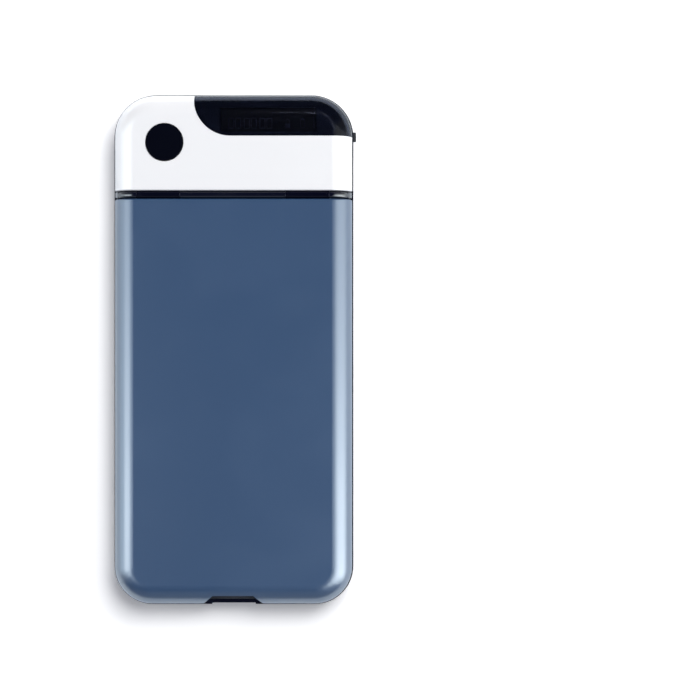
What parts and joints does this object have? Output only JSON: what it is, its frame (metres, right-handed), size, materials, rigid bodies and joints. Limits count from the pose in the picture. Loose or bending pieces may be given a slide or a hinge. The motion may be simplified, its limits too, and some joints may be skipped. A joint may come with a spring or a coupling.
{
  "type": "timed lock container",
  "caption": "Phone-size lock box with a hinged blue lid, white timer head, smoked display corner, push knob and rack-driven lock.",
  "frame": {"origin": "middle of the flat back face that the box lies on", "axes": "+Z out of the lid, +Y along the box towards the head with the knob and display, +X to the side with the slide switch"},
  "size_m": [0.1012, 0.213, 0.0248],
  "materials": {
    "back_navy": "gloss",
    "lid_blue": "satin",
    "head_white": "satin gloss",
    "liner_dark": "satin",
    "tray_grey": "fine grain",
    "smoked_window": "polished",
    "knob_black": "soft matte",
    "nub_black": "satin",
    "felt": "short felt",
    "steel": "satin",
    "pinion_brass": "machined",
    "board_green": "solder mask",
    "black_parts": "matte",
    "battery_foil": "foil",
    "display_glass": "polished",
    "holder_white": "matte"
  },
  "bodies": {
    "shell": {"back_shell": "back_navy", "hinge_pin": "steel", "inner_tray": "tray_grey", "tray_pad": "felt", "gear_motor": "black_parts", "motor_screws": "steel", "position_switch": "black_parts", "head_cover": "head_white", "display_window": "smoked_window", "head_screws": "steel", "circuit_board": "board_green", "board_screws": "steel", "board_components": "black_parts", "buzzer": "black_parts", "display_holder": "holder_white", "display_module": "display_glass", "encoder_body": "steel", "battery": "battery_foil", "port_board": "board_green", "usb_port": "steel", "port_screws": "steel", "switch_body": "steel"},
    "lid": {"lid_shell": "lid_blue", "lid_liner": "liner_dark", "lid_pad": "felt", "lid_hooks": "steel", "hook_screws": "steel"},
    "yoke": {"lock_yoke": "steel", "lock_catches": "steel"},
    "pinion": {"drive_pinion": "pinion_brass", "output_shaft": "steel"},
    "plunger": {"encoder_plunger": "holder_white"},
    "knob": {"knob": "knob_black", "encoder_shaft": "steel"},
    "switch": {"switch_slider": "nub_black"}
  },
  "joints": [
    {"name": "lid_hinge", "type": "hinge", "parent": "shell", "child": "lid", "pos_m": [0, 0.0642, 0.02235], "axis": [-1, 0, 0], "range_deg": [0, 100]},
    {"name": "lock_slide", "type": "slide", "parent": "shell", "child": "yoke", "axis": [0, -1, 0], "range_m": [0, 0.005]},
    {"name": "pinion_spin", "type": "hinge", "parent": "shell", "child": "pinion", "pos_m": [0.014, 0.084, 0.009], "axis": [0, 0, 1], "range_deg": [0, 68.3]},
    {"name": "knob_press", "type": "slide", "parent": "shell", "child": "plunger", "axis": [0, 0, -1], "range_m": [0, 0.0006], "stiffness_N_per_m": 500, "springref_m": -0.0004},
    {"name": "knob_spin", "type": "hinge", "parent": "plunger", "child": "knob", "pos_m": [-0.02825, 0.0859, 0.0235], "axis": [0, 0, 1], "continuous": true},
    {"name": "switch_slide", "type": "slide", "parent": "shell", "child": "switch", "axis": [0, -1, 0], "range_m": [0, 0.003]}
  ],
  "couplings": [
    {"joint": "pinion_spin", "follows": "lock_slide", "rad_per_m": 238.1}
  ]
}
